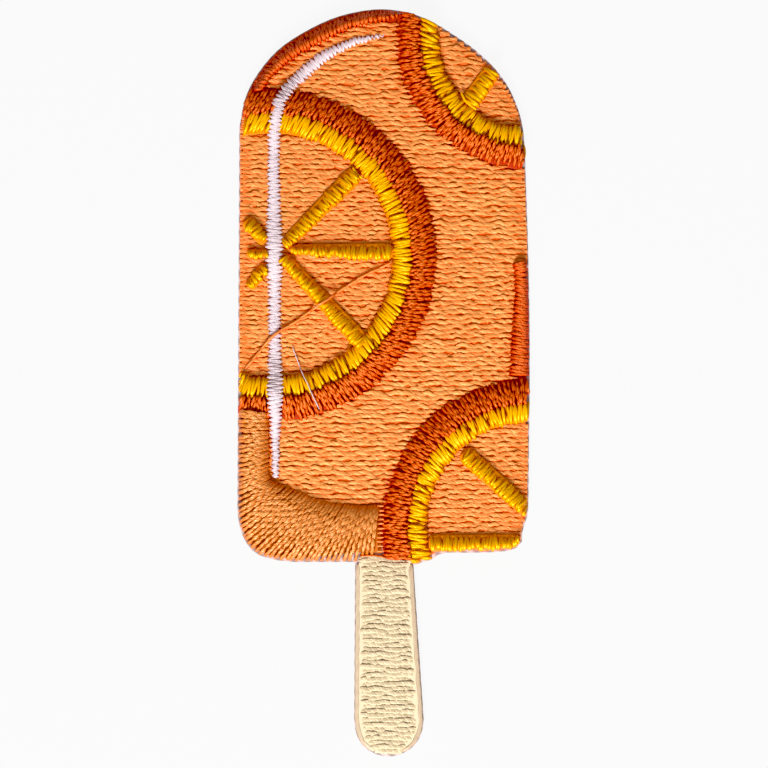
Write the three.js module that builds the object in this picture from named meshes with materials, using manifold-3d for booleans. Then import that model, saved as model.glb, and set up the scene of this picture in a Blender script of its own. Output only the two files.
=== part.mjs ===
// An embroidered cloth patch in the shape of an orange ice pop on a stick.
// Millimetres, +Z up. The patch lies on its back with the stitched side up:
// +X is the picture's right, +Y its top, and the origin is the middle of the back face.
import * as THREE from "three";
import { mergeVertices } from "three/addons/utils/BufferGeometryUtils.js";
import Module from "manifold-3d";

const wasm = await Module();
wasm.setup();

// Driving dimensions
const LENGTH = 76.2;
const BODY_WIDTH = 29.8;
const BODY_FOOT = -18.25;
const SAMPLE_STEP = 0.9;

// Heights of the layers above the surface that the patch lies on
const FILM_TOP = 0.2;
const CLOTH_TOP = 0.65;
const FILL_TOP = 1.15;
const BAND_EDGE = 1.0;
const BAND_CROWN = 1.45;
const WALL_EDGE = 1.3;
const WALL_CROWN = 1.6;
const HIGHLIGHT_EDGE = 1.6;
const HIGHLIGHT_CROWN = 1.9;

// Clearances
const FILM_MARGIN = 0.25;
const THREAD_MARGIN = 0.12;
const GAP = 0.06;
const TALL = 4;

// The three orange slices: centre and the outer radii of flesh, pith and rind
const SLICES = {
  left: { centre: [-11.55, 13.0], flesh: 12.4, pith: 14.45, rind: 17.0 },
  top: { centre: [14.6, 35.1], flesh: 9.0, pith: 10.9, rind: 13.4 },
  low: { centre: [15.1, -14.65], flesh: 10.65, pith: 12.6, rind: 15.4 },
};

// The yellow walls between a slice's segments: from the hub, to the ring, and the width at each end
const WALLS = {
  left: [
    { from: [-10.0, 14.1], to: [-2.7, 21.4], widths: [1.3, 1.9] },
    { from: [-9.5, 13.6], to: [1.0, 13.35], widths: [1.0, 1.75] },
    { from: [-10.2, 12.7], to: [-1.9, 3.8], widths: [1.3, 1.9] },
    { from: [-12.0, 14.3], to: [-14.0, 16.5], widths: [1.2, 1.4] },
    { from: [-11.7, 13.2], to: [-13.9, 13.1], widths: [0.8, 0.9] },
    { from: [-11.8, 12.0], to: [-13.7, 9.7], widths: [1.2, 1.1] },
  ],
  top: [{ from: [11.0, 31.6], to: [8.6, 28.3], widths: [1.8, 1.9] }],
  low: [
    { from: [14.9, -13.1], to: [8.1, -7.1], widths: [1.7, 1.8] },
    { from: [13.9, -16.2], to: [4.6, -16.3], widths: [1.6, 1.7] },
  ],
};

// The white highlight: points of its centreline with the width there
const HIGHLIGHT = [
  [0.1, 35.4, 0.3],
  [-3.4, 34.6, 0.9],
  [-6.5, 32.9, 1.3],
  [-9.0, 30.8, 1.4],
  [-10.6, 28.2, 1.3],
  [-11.1, 25.4, 1.3],
  [-11.15, 18.4, 1.4],
  [-11.1, 13.5, 1.8],
  [-11.1, 8.4, 1.4],
  [-11.05, 3.9, 1.4],
  [-11.0, -1.5, 1.7],
  [-11.0, -4.8, 1.1],
  [-11.0, -9.8, 0.7],
];

// Two loose ends of thread that lie over the stitching
const LOOSE_THREADS = {
  loose_orange_thread: [
    [0.9, 12.3, 1.85],
    [-2.5, 10.6, 1.7],
    [-6.05, 8.25, 1.85],
    [-9.0, 6.2, 1.9],
    [-11.3, 4.7, 2.1],
    [-13.0, 2.7, 1.6],
    [-14.1, 1.4, 1.35],
  ],
  loose_white_thread: [
    [-9.3, 3.8, 1.35],
    [-8.5, 1.6, 1.55],
    [-7.4, -0.8, 1.7],
    [-6.5, -2.7, 1.6],
  ],
};
const LOOSE_THREAD_RADIUS = 0.11;

// Points about one step apart along a smooth curve through a few points, without the last one
function smooth(points) {
  const curve = new THREE.CatmullRomCurve3(
    points.map(([x, y]) => new THREE.Vector3(x, y, 0)),
  );
  const count = Math.max(2, Math.round(curve.getLength() / SAMPLE_STEP));
  return curve
    .getSpacedPoints(count)
    .slice(0, -1)
    .map((p) => new THREE.Vector2(p.x, p.y));
}

const corners = (points) => points.map(([x, y]) => new THREE.Vector2(x, y));

// The silhouette of the whole patch: the ice with its round top, and the stick
function silhouette() {
  const half = BODY_WIDTH / 2;
  const top = LENGTH / 2;
  const arch = [
    [-14.7, 26.0],
    [-14.1, 29.0],
    [-12.9, 31.4],
    [-10.8, 33.9],
    [-8.2, 35.7],
    [-5.2, 37.15],
    [-2.6, 37.85],
    [-0.2, top],
    [2.3, 37.8],
    [4.6, 37.0],
    [6.8, 35.7],
    [9.4, 33.9],
    [11.9, 31.4],
    [13.3, 29.0],
    [14.15, 26.3],
    [14.45, 22.7],
  ];
  const rightSide = [
    [14.45, 22.7],
    [14.75, 13.5],
    [half, 4.4],
    [14.8, -10.9],
  ];
  const rightCorner = [
    [14.8, -10.9],
    [14.65, -13.7],
    [14.15, -15.0],
    [14.15, -16.1],
    [13.4, -16.9],
    [11.8, -17.2],
    [8.8, -17.3],
    [5.8, -17.4],
    [4.9, -18.0],
    [4.0, BODY_FOOT],
  ];
  const stickEnd = [
    [4.1, -34.3],
    [3.9, -35.7],
    [3.2, -36.9],
    [2.1, -37.7],
    [0.5, -top],
    [-1.1, -37.7],
    [-2.2, -36.9],
    [-2.8, -35.7],
    [-3.0, -34.3],
  ];
  const leftCorner = [
    [-9.0, BODY_FOOT],
    [-11.2, -18.0],
    [-13.1, -17.3],
    [-14.1, -16.1],
    [-14.7, -14.5],
    [-half, -12.9],
  ];
  return [
    ...smooth(arch),
    ...smooth(rightSide),
    ...smooth(rightCorner),
    ...corners([
      [4.0, BODY_FOOT],
      [3.05, BODY_FOOT - 0.35],
    ]),
    ...smooth(stickEnd),
    ...corners([
      [-3.0, -34.3],
      [-2.9, BODY_FOOT],
    ]),
    ...smooth(leftCorner),
    ...corners([[-half, -12.9]]),
  ];
}

// A closed outline moved inwards by a distance
function inset(points, distance) {
  return points.map((point, i) => {
    const before = points[(i + points.length - 1) % points.length];
    const after = points[(i + 1) % points.length];
    const incoming = point.clone().sub(before).normalize();
    const outgoing = after.clone().sub(point).normalize();
    const along = incoming.clone().add(outgoing).normalize();
    const spread = Math.sqrt((1 + incoming.dot(outgoing)) / 2);
    const inwards = new THREE.Vector2(along.y, -along.x);
    return point.clone().addScaledVector(inwards, distance / spread);
  });
}

// A flat-topped plate between two heights
function plate(points, bottom, top) {
  const geometry = new THREE.ExtrudeGeometry(new THREE.Shape(points), {
    depth: top - bottom,
    bevelEnabled: false,
  });
  return geometry.translate(0, 0, bottom);
}

// A disc as a cutter that is taller than the patch
function disc([x, y], radius) {
  const geometry = new THREE.CylinderGeometry(radius, radius, TALL, 96);
  return geometry.rotateX(Math.PI / 2).translate(x, y, 0);
}

// A ring of satin stitch: a domed band between two radii round a centre
function domedRing([x, y], inner, outer) {
  const middle = (inner + outer) / 2;
  const half = (outer - inner) / 2;
  const profile = [new THREE.Vector2(inner, CLOTH_TOP)];
  profile.push(new THREE.Vector2(outer, CLOTH_TOP));
  for (let i = 0; i <= 6; i++) {
    const across = Math.cos((i / 6) * Math.PI);
    const lift = Math.sin((i / 6) * Math.PI);
    const height = BAND_EDGE + (BAND_CROWN - BAND_EDGE) * lift;
    profile.push(new THREE.Vector2(middle + half * across, height));
  }
  profile.push(profile[0].clone());
  return new THREE.LatheGeometry(profile, 96)
    .rotateX(Math.PI / 2)
    .translate(x, y, 0);
}

// A domed column along stations [x, y, width], from a flat bottom up to its crown
function domedColumn(stations, { bottom, edge, crown, grow = 0 }) {
  const domeSteps = 6;
  const ringSize = domeSteps + 3;
  const positions = [];
  const faces = [];
  stations.forEach(([x, y, width], i) => {
    const [ax, ay] = stations[Math.max(i - 1, 0)];
    const [bx, by] = stations[Math.min(i + 1, stations.length - 1)];
    const length = Math.hypot(bx - ax, by - ay);
    const side = [(by - ay) / length, (ax - bx) / length];
    const half = width / 2 + grow;
    const put = (across, height) =>
      positions.push(
        x + side[0] * half * across,
        y + side[1] * half * across,
        height,
      );
    put(-1, bottom);
    put(1, bottom);
    for (let k = 0; k <= domeSteps; k++) {
      const turn = (k / domeSteps) * Math.PI;
      const lift = Math.sin(turn) * (crown - edge);
      put(Math.cos(turn), edge + lift + grow);
    }
  });
  for (let i = 0; i + 1 < stations.length; i++)
    for (let k = 0; k < ringSize; k++) {
      const a = i * ringSize + k;
      const b = i * ringSize + ((k + 1) % ringSize);
      faces.push(a, a + ringSize, b, b, a + ringSize, b + ringSize);
    }
  const last = (stations.length - 1) * ringSize;
  for (let k = 1; k + 1 < ringSize; k++) {
    faces.push(0, k, k + 1);
    faces.push(last, last + k + 1, last + k);
  }
  const geometry = new THREE.BufferGeometry();
  geometry.setAttribute(
    "position",
    new THREE.Float32BufferAttribute(positions, 3),
  );
  geometry.setIndex(faces);
  return geometry;
}

// A smooth column's stations through a few [x, y, width] points
function smoothStations(points, count) {
  const curve = new THREE.CatmullRomCurve3(
    points.map(([x, y, width]) => new THREE.Vector3(x, y, width)),
  );
  return curve.getSpacedPoints(count).map((p) => [p.x, p.y, p.z]);
}

// A wall between two segments: a short straight column with rounded ends
function wallStations({ from, to, widths }) {
  const rounding = [0, 0.03, 0.1, 0.5, 0.9, 0.97, 1];
  const fullness = [0.55, 0.85, 1, 1, 1, 0.85, 0.55];
  return rounding.map((t, i) => [
    from[0] + (to[0] - from[0]) * t,
    from[1] + (to[1] - from[1]) * t,
    (widths[0] + (widths[1] - widths[0]) * t) * fullness[i],
  ]);
}

// A round thread through a few points
function looseThread(points) {
  const path = new THREE.CatmullRomCurve3(
    points.map(([x, y, z]) => new THREE.Vector3(x, y, z)),
  );
  const section = new THREE.Shape(
    new THREE.EllipseCurve(0, 0, LOOSE_THREAD_RADIUS, LOOSE_THREAD_RADIUS)
      .getPoints(8)
      .slice(0, 8),
  );
  return new THREE.ExtrudeGeometry(section, {
    steps: 24,
    extrudePath: path,
  });
}

// A closed geometry as a solid that can be cut and joined
function solid(geometry) {
  const bare = geometry.clone();
  bare.deleteAttribute("normal");
  bare.deleteAttribute("uv");
  const merged = mergeVertices(bare, 1e-4);
  const made = new wasm.Manifold(
    new wasm.Mesh({
      numProp: 3,
      vertProperties: merged.attributes.position.array,
      triVerts: new Uint32Array(merged.index.array),
    }),
  );
  return made;
}

// A solid back as a geometry with flat faces
function geometryOf(made) {
  const mesh = made.getMesh();
  const geometry = new THREE.BufferGeometry();
  geometry.setAttribute(
    "position",
    new THREE.BufferAttribute(mesh.vertProperties, 3),
  );
  geometry.setIndex(new THREE.BufferAttribute(mesh.triVerts, 1));
  const flat = geometry.toNonIndexed();
  flat.computeVertexNormals();
  return flat;
}

const thread = (colour) =>
  new THREE.MeshStandardMaterial({ color: colour, roughness: 0.5 });
const MATERIALS = {
  film: new THREE.MeshStandardMaterial({ color: "#e9e6e0", roughness: 0.35 }),
  twill: new THREE.MeshStandardMaterial({ color: "#e8dedd", roughness: 0.9 }),
  peach: thread("#f4a063"),
  apricot: thread("#e08f3e"),
  rust: thread("#d9601c"),
  yellow: thread("#f0b212"),
  white: thread("#efe2e6"),
  cream: thread("#f2dcb4"),
};

const patch = new THREE.Group();
patch.name = "orange_ice_pop_patch";

function add(name, shape, material) {
  const geometry = shape.isBufferGeometry ? shape : geometryOf(shape);
  const mesh = new THREE.Mesh(geometry, MATERIALS[material]);
  mesh.name = name;
  patch.add(mesh);
}

// The cut sheets: heat-seal film below, base cloth above
const edge = silhouette();
const threadEdge = inset(edge, THREAD_MARGIN);
add("backing_film", plate(inset(edge, FILM_MARGIN), 0, FILM_TOP), "film");
add("base_cloth", plate(edge, FILM_TOP, CLOTH_TOP), "twill");

// The field that stitches may cover, split where the stick begins
const box = (width, bottom, top) =>
  solid(
    new THREE.BoxGeometry(width, top - bottom, TALL).translate(
      0,
      (top + bottom) / 2,
      0,
    ),
  );
const aboveFoot = box(2 * BODY_WIDTH, BODY_FOOT, LENGTH);
const belowFoot = box(2 * BODY_WIDTH, -LENGTH, BODY_FOOT - GAP);
const stitched = solid(plate(threadEdge, CLOTH_TOP, FILL_TOP));
const iceArea = stitched.intersect(aboveFoot);
const clip = solid(plate(threadEdge, CLOTH_TOP, TALL)).intersect(aboveFoot);
add("stick_fill", stitched.intersect(belowFoot), "cream");

// The shaded corner at the lower left
const SHADE = [
  ...corners([
    [-BODY_WIDTH, 0],
    [-11.7, 0],
  ]),
  ...smooth([
    [-11.7, -7.5],
    [-11.2, -9.2],
    [-9.6, -10.6],
    [-7.0, -11.7],
    [-3.6, -12.3],
    [-0.2, -12.4],
  ]),
  ...corners([
    [-0.2, -12.4],
    [-0.2, -LENGTH / 2],
    [-BODY_WIDTH, -LENGTH / 2],
  ]),
];

// The rust rim at the top left, as all that lies outside its inner edge
const CROWN = [
  ...smooth([
    [-16.0, 29.0],
    [-13.0, 29.5],
    [-10.4, 31.7],
    [-8.9, 33.1],
    [-6.5, 34.4],
    [-4.4, 35.4],
    [-2.3, 36.2],
    [0.2, 36.7],
    [2.0, 36.9],
  ]),
  ...corners([
    [2.0, 36.9],
    [2.2, LENGTH / 2 + 1],
    [-16.0, LENGTH / 2 + 1],
  ]),
];

// The sliver of a fourth slice at the right edge
const SLIVER = [
  ...corners([[BODY_WIDTH / 2 + 1, 12.3]]),
  ...smooth([
    [14.0, 12.1],
    [13.6, 9.5],
    [13.2, 6.4],
    [13.0, 3.4],
    [12.95, 0],
  ]),
  ...corners([
    [12.95, 0],
    [BODY_WIDTH / 2 + 1, 0],
  ]),
];

const clockwise = (points) =>
  THREE.ShapeUtils.isClockWise(points) ? points : points.toReversed();
const cutter = (points, grow) =>
  solid(plate(inset(clockwise(points), -grow), -TALL, TALL));
const sliceDisc = (name, ring, grow) =>
  solid(disc(SLICES[name].centre, SLICES[name][ring] + grow));
const names = Object.keys(SLICES);

let rinds = sliceDisc("left", "rind", GAP);
rinds = rinds.add(sliceDisc("top", "rind", GAP));
rinds = rinds.add(sliceDisc("low", "rind", GAP));

const shade = cutter(SHADE, 0);
const crescent = cutter(CROWN, 0);
const sliver = cutter(SLIVER, 0);
add("shade_corner", iceArea.intersect(shade).subtract(rinds), "apricot");
add("crown_rind", iceArea.intersect(crescent).subtract(rinds), "rust");
add("edge_rind", iceArea.intersect(sliver).subtract(rinds), "rust");

// The peach ice is what the slices, the shade and the rims leave
const ice = iceArea
  .subtract(rinds)
  .subtract(cutter(SHADE, GAP))
  .subtract(cutter(CROWN, GAP))
  .subtract(cutter(SLIVER, GAP));
add("ice_fill", ice.decompose().sort((a, b) => b.volume() - a.volume())[0], "peach");

// Each slice: flesh, then the pith ring and the rind ring round it
for (const name of names) {
  const { centre, flesh, pith, rind } = SLICES[name];
  const pithRing = domedRing(centre, flesh, pith - GAP);
  const rindRing = domedRing(centre, pith, rind);
  const fleshDisc = iceArea.intersect(sliceDisc(name, "flesh", -GAP));
  add(`${name}_flesh`, fleshDisc, "peach");
  add(`${name}_pith`, solid(pithRing).intersect(clip), "yellow");
  add(`${name}_rind`, solid(rindRing).intersect(clip), "rust");
}

// The walls lie on the flesh, each cut clear of the pith ring and of the walls before it
const WALL_HEIGHTS = { bottom: FILL_TOP, edge: WALL_EDGE, crown: WALL_CROWN };
const wallUnions = {};
for (const name of names) {
  const { centre, flesh, pith } = SLICES[name];
  let taken = solid(domedRing(centre, flesh - GAP, pith));
  WALLS[name].forEach((wall, i) => {
    const stations = wallStations(wall);
    const own = solid(domedColumn(stations, WALL_HEIGHTS));
    const grown = domedColumn(stations, { ...WALL_HEIGHTS, grow: GAP });
    const cut = own.subtract(taken).intersect(clip).decompose();
    const largest = cut.sort((a, b) => b.volume() - a.volume())[0];
    add(`${name}_wall_${i + 1}`, largest, "yellow");
    taken = taken.add(solid(grown));
  });
  wallUnions[name] = taken;
}

// The highlight runs over everything that it crosses
const highlightHeights = {
  bottom: FILL_TOP,
  edge: HIGHLIGHT_EDGE,
  crown: HIGHLIGHT_CROWN,
};
const left = SLICES.left;
const highlight = solid(
  domedColumn(smoothStations(HIGHLIGHT, 48), highlightHeights),
)
  .subtract(wallUnions.left)
  .subtract(solid(domedRing(left.centre, left.flesh - GAP, left.pith)).translate(0, 0, GAP))
  .subtract(
    solid(domedRing(left.centre, left.pith - GAP, left.rind + GAP)).translate(0, 0, GAP),
  )
  .intersect(clip);
add("highlight", highlight, "white");

add("loose_orange_thread", looseThread(LOOSE_THREADS.loose_orange_thread), "rust");
add("loose_white_thread", looseThread(LOOSE_THREADS.loose_white_thread), "white");

export default patch;
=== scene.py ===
# The looks of an embroidered patch in the shape of an orange ice pop on a stick.
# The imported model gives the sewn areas, the cloth and the film. Here each area gets its real stitches.
import math
import random

import bmesh
import bpy
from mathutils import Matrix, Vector, noise
from mathutils.geometry import interpolate_bezier


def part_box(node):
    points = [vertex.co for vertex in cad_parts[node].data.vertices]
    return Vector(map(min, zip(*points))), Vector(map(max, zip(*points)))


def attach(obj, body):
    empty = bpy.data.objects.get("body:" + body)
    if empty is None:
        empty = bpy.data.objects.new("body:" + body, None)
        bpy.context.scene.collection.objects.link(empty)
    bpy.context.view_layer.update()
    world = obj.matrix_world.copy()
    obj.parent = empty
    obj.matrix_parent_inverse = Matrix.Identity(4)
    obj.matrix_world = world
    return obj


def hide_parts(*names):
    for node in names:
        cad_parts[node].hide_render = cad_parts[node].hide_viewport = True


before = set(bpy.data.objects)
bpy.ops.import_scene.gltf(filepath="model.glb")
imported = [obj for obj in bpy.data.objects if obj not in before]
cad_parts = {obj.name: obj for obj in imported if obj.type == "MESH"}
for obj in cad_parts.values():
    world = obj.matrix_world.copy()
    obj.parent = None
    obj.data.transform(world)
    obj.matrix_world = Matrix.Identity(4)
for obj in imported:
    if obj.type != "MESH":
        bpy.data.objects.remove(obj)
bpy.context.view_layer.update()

MM = 0.001
PHOTO_PIXELS = 768
PHOTO_CENTRE = (384.0, 384.0)
PATCH_CENTRE = (383.5, 383.0)
PATCH_PIXELS = 749.0
PATCH_LENGTH = 76.2
PIXEL = PATCH_LENGTH / PATCH_PIXELS

# Sewing: the distance between needle holes on one side of a band, and between rows of a fill
SATIN_PITCH = 0.44
CORNER_PITCH = 0.42
FILL_PITCH = 0.48
FILL_STITCH = 3.1
CORNER_STITCH = 0.95
RIND_STITCH = 0.9
THREAD_LAY = 2.9
SEED_LAY = 1.25
LEAF_LAY = 2.6

# Heights in millimetres above the surface that the patch lies on, for the middle of a thread
CLOTH_TOP = 0.65
EDGE_HEIGHT = 0.80
TIP_HEIGHT = 0.90
OVER_TIP_HEIGHT = 1.04
FILL_HEIGHT = 0.92
BAND_HEIGHT = 1.04
WALL_HEIGHT = 1.10

# Of two threads side by side in a band, the one that is sewn last stands this much prouder
PROUD = 0.02

# How far inside the cut edge the needle stays, and how far rows run over the edge of a ring
CUT_MARGIN = 0.11
UNDERLAY_MARGIN = 0.4
CROWN_MARGIN = 0.2
OVER_EDGE = 0.4
HALF_THREAD = 0.14
ROW_OVERLAP = (0.3, 0.95)

# How much of its solid's height each area's underlay keeps
FILL_BED = 0.45
STICK_BED = 0.48
RING_BED = 0.55
WALL_BED = 0.6
EDGE_BED = 0.65

# Smaller measures in millimetres
SINK = 0.1
SHORTEST = 0.3
HOLE_REACH = 0.25
HOLE_DIP = 0.06
ROW_END_PITCH = 0.45
TOOTH_PITCH = 0.455
LOOSE_STEP = 0.3
WELD = 0.001

# Plain numbers: a thread's sides, steps between two points of a curve, and the scales of fibres and plies
THREAD_SIDES = 6
CURVE_STEPS = 12
FIBRE_RUN = 900.0
PLY_START = 40.0

# The body's lower edge where it crosses the top of the stick
FOOT_LINE = (
    (-3.0, -18.5), (-2.87, -17.75), (-2.3, -17.55), (-0.6, -17.6),
    (0.7, -17.9), (1.7, -18.05), (3.16, -18.15), (3.26, -19.0),
)

# The three orange slices, as sewn: centre and the radii of the flesh, the pith and the rind
SLICES = {
    "left": {"centre": (-11.55, 13.0), "pith": (12.4, 14.75), "rind": (14.25, 17.0)},
    "top": {"centre": (14.6, 35.1), "pith": (9.0, 11.2), "rind": (10.75, 13.25)},
    "low": {"centre": (15.1, -14.65), "pith": (10.65, 12.95), "rind": (12.45, 15.25)},
}

# How the threads of each ring turn: at an angle round the centre, the angle that the thread lies at
RING_GUIDES = {
    "left_rind": (
        (-118, -116), (-107, -114), (-95, -97), (-90, -88), (-75, -66), (-60, -48),
        (-45, -20), (-30, -6), (-20, 0), (-5, 10), (7, 28), (20, 42),
        (35, 50), (56, 60), (75, 60), (90, 62), (102, 65),
    ),
    "left_pith": (
        (-118, -118), (-100, -110), (-80, -77), (-70, -66), (-56, -60), (-45, -57),
        (-38, -55), (-27, -40), (-18, -27), (-5, -4), (6, 12), (20, 25),
        (33, 38), (60, 60), (75, 62), (90, 65), (101, 68),
    ),
    "top_rind": (
        (158, 168), (180, 179), (200, 192), (217, 207), (237, 236), (255, 248),
        (266, 260), (280, 268),
    ),
    "top_pith": (
        (158, 146), (175, 154), (184, 172), (199, 188), (213, 215), (232, 232),
        (248, 245), (262, 260), (280, 272),
    ),
    "low_rind": (
        (84, 86), (92, 90), (104, 112), (122, 130), (139, 148), (149, 156),
        (160, 165), (170, 172), (180, 178), (200, 175),
    ),
    "low_pith": (
        (84, 82), (92, 86), (108, 113), (119, 116), (128, 121), (137, 131),
        (145, 139), (158, 152), (170, 165), (180, 177), (190, 178), (206, 170),
    ),
}

# The yellow walls between a slice's segments: from the hub, to the ring, and the width at each end
WALLS = {
    "left": [
        ((-10.0, 14.1), (-2.7, 21.4), (1.3, 1.9)),
        ((-9.5, 13.5), (1.0, 13.2), (1.05, 1.85)),
        ((-10.2, 12.7), (-1.9, 3.8), (1.3, 1.9)),
        ((-12.0, 14.6), (-13.8, 16.4), (1.1, 1.75)),
        ((-11.95, 13.2), (-13.9, 13.1), (0.9, 1.1)),
        ((-12.0, 11.8), (-13.7, 9.7), (1.2, 1.2)),
    ],
    "top": [((11.0, 31.6), (8.6, 28.3), (1.8, 1.9))],
    "low": [
        ((14.9, -13.1), (8.1, -7.1), (1.7, 1.8)),
        ((13.9, -16.2), (4.6, -16.3), (1.6, 1.7)),
    ],
}

# The white highlight: points of its centreline with the width there
HIGHLIGHT = (
    (0.1, 35.4, 0.3), (-3.4, 34.6, 0.9), (-6.5, 32.9, 1.3), (-8.9, 30.8, 1.35),
    (-10.05, 29.5, 1.3), (-10.65, 28.2, 1.3), (-11.1, 25.4, 1.3), (-11.15, 18.4, 1.4),
    (-11.1, 13.5, 1.8), (-11.1, 8.4, 1.4), (-11.05, 3.9, 1.4), (-11.0, -1.5, 1.7),
    (-11.0, -4.8, 1.1), (-11.0, -9.8, 0.7),
)

# Bands that follow the patch's edge: pairs of needle points, outer then inner
SHADE_PAIRS = (
    ((-14.7, -2.75), (-11.5, -3.2)), ((-14.75, -7.5), (-11.5, -6.8)),
    ((-14.7, -11.0), (-11.4, -9.6)), ((-14.5, -13.8), (-9.9, -10.4)),
    ((-13.9, -15.9), (-8.0, -11.1)), ((-12.2, -17.3), (-6.6, -11.7)),
    ((-9.8, -18.0), (-5.2, -12.0)), ((-6.8, -18.1), (-3.2, -12.3)),
    ((-3.6, -18.1), (-1.6, -12.4)), ((-1.7, -18.1), (-0.85, -12.3)),
    ((-0.65, -18.1), (-0.5, -12.3)),
)
CROWN_PAIRS = (
    ((-13.7, 29.6), (-12.2, 29.8)), ((-12.75, 31.3), (-11.3, 31.1)),
    ((-11.3, 33.15), (-10.1, 32.2)), ((-9.45, 34.75), (-8.6, 33.3)),
    ((-7.6, 35.9), (-7.0, 34.2)), ((-5.25, 36.9), (-4.85, 35.3)),
    ((-3.35, 37.45), (-3.1, 36.05)), ((-1.35, 37.85), (-1.2, 36.5)),
    ((0.65, 37.9), (0.75, 36.85)), ((1.4, 37.85), (1.6, 37.2)),
)
SLIVER_PAIRS = (
    ((14.1, 12.3), (13.15, 12.1)), ((14.6, 10.3), (13.3, 10.4)),
    ((14.65, 8.2), (13.35, 8.4)), ((14.7, 6.1), (13.15, 6.4)),
    ((14.75, 3.4), (12.95, 3.6)), ((14.75, 0.6), (12.8, 0.8)),
)

# Two loose ends of thread that lie over the stitching
LOOSE_ORANGE = (
    (0.9, 12.3), (-2.5, 10.6), (-6.05, 8.25), (-9.0, 6.2),
    (-11.3, 4.7), (-13.0, 2.7), (-14.1, 1.4),
)
LOOSE_WHITE = ((-9.3, 3.8), (-8.5, 1.6), (-7.4, -0.8), (-6.5, -2.7))

# One thread of the top pith that runs on along the cut edge
EDGE_THREAD = ((14.28, 24.4), (14.33, 23.5), (14.36, 22.7))

# Where two walls were tied off: one long stitch that bends round the end
TIE_OFFS = {
    "left_wall_1": ((-3.1, 21.9), (-2.75, 21.2), (-2.15, 20.8)),
    "top_wall_1": ((7.9, 29.5), (8.3, 28.6), (9.4, 27.8)),
}


# Small helpers


def mix(a, b, t):
    return a + (b - a) * t


def from_table(table, x):
    """The value at x of a table of (x, value) pairs, on straight lines."""
    for (x0, y0), (x1, y1) in zip(table, table[1:]):
        if x <= x1:
            return mix(y0, y1, (x - x0) / (x1 - x0))
    return table[-1][1]


def direction(degrees):
    return Vector((math.cos(math.radians(degrees)), math.sin(math.radians(degrees))))


def route(points):
    """A function of 0 to 1 along a smooth curve through the points at an even pace, and its length."""
    points = [Vector((*p, 0)[:3]) for p in points]
    dense = []
    for i in range(len(points) - 1):
        before = points[max(i - 1, 0)]
        after = points[min(i + 2, len(points) - 1)]
        reach = (points[i + 1] - points[i]).length / 3
        out = (points[i + 1] - before).normalized() * reach
        back = (after - points[i]).normalized() * reach
        bends = (points[i], points[i] + out, points[i + 1] - back, points[i + 1])
        piece = interpolate_bezier(*bends, CURVE_STEPS)
        dense += piece[: -1 if i < len(points) - 2 else None]
    marks = [0.0]
    for a, b in zip(dense, dense[1:]):
        marks.append(marks[-1] + (b - a).length)

    def at(s):
        want = min(max(s, 0.0), 1.0) * marks[-1]
        k = 1
        while k < len(marks) - 1 and marks[k] < want:
            k += 1
        return dense[k - 1].lerp(dense[k], (want - marks[k - 1]) / (marks[k] - marks[k - 1]))

    return at, marks[-1]


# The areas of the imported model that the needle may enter


def footprint(node):
    """The outline of a flat-topped node, as a list of its edges in millimetres."""
    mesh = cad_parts[node].data
    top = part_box(node)[1].z
    count = {}
    for face in mesh.polygons:
        corners = [mesh.vertices[v].co for v in face.vertices]
        if all(c.z > top - 0.01 * MM for c in corners):
            keys = [(round(c.x / MM, 4), round(c.y / MM, 4)) for c in corners]
            for a, b in zip(keys, keys[1:] + keys[:1]):
                edge = (min(a, b), max(a, b))
                count[edge] = count.get(edge, 0) + 1
    return [edge for edge, times in count.items() if times == 1]


def spans(edges, p, q):
    """The stretches of the line p to q that lie inside an outline, as pairs of fractions."""
    d = q - p
    hits = []
    for (ax, ay), (bx, by) in edges:
        ex, ey = bx - ax, by - ay
        cross = d.x * ey - d.y * ex
        if abs(cross) < 1e-12:
            continue
        t = ((ax - p.x) * ey - (ay - p.y) * ex) / cross
        u = ((ax - p.x) * d.y - (ay - p.y) * d.x) / cross
        if 0 <= u < 1:
            hits.append(t)
    hits.sort()
    return list(zip(hits[::2], hits[1::2]))


OUTLINE = footprint("base_cloth")
SEWN = []


def ground(x, y):
    """The top of everything that is sewn so far, at one place."""
    start, down = Vector((x * MM, y * MM, 0.01)), Vector((0, 0, -1))
    hits = [piece.ray_cast(start, down) for piece in SEWN]
    return max([spot.z / MM for found, spot, _, _ in hits if found] + [CLOTH_TOP])


# Nodes


def add(tree, kind, sockets=None, **settings):
    """Adds a node with its settings, and links or fills its sockets."""
    node = tree.nodes.new(kind)
    for key, value in settings.items():
        setattr(node, key, value)
    for key, value in (sockets or {}).items():
        if isinstance(value, bpy.types.NodeSocket):
            tree.links.new(value, node.inputs[key])
        else:
            node.inputs[key].default_value = value
    return node


def linear(colour):
    """An sRGB hex colour as linear values."""
    parts = [int(colour[i : i + 2], 16) / 255 for i in (1, 3, 5)]
    parts = [p / 12.92 if p <= 0.04045 else ((p + 0.055) / 1.055) ** 2.4 for p in parts]
    return (*parts, 1.0)


def arithmetic(tree, operation, *values, **settings):
    """One sum on sockets or plain numbers."""
    sockets = dict(enumerate(values))
    return add(tree, "ShaderNodeMath", sockets, operation=operation, **settings).outputs[0]


def bump_up(tree, t, edge, power):
    """A field that is 0 at both ends of t and 1 in the middle: (1 - |2t - 1| ^ edge) ^ power."""
    size = arithmetic(tree, "ABSOLUTE", arithmetic(tree, "MULTIPLY_ADD", t, 2.0, -1.0))
    raised = arithmetic(tree, "POWER", size, edge)
    rest = arithmetic(tree, "SUBTRACT", 1.0, raised, use_clamp=True)
    return arithmetic(tree, "POWER", rest, power)


# The thread tree's inputs: lengths in millimetres, plain numbers, and the rest
IN_MM = ("width", "height", "crown", "arch", "step", "wander", "reach")
PLAIN = ("rock", "tip", "lean", "ridge")
THREAD_INPUTS = {
    "NodeSocketFloat": [key.title() for key in IN_MM + PLAIN] + ["Ripple", "Lay"],
    "NodeSocketInt": ["Sides", "Seed"],
    "NodeSocketMaterial": ["Material"],
}


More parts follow.
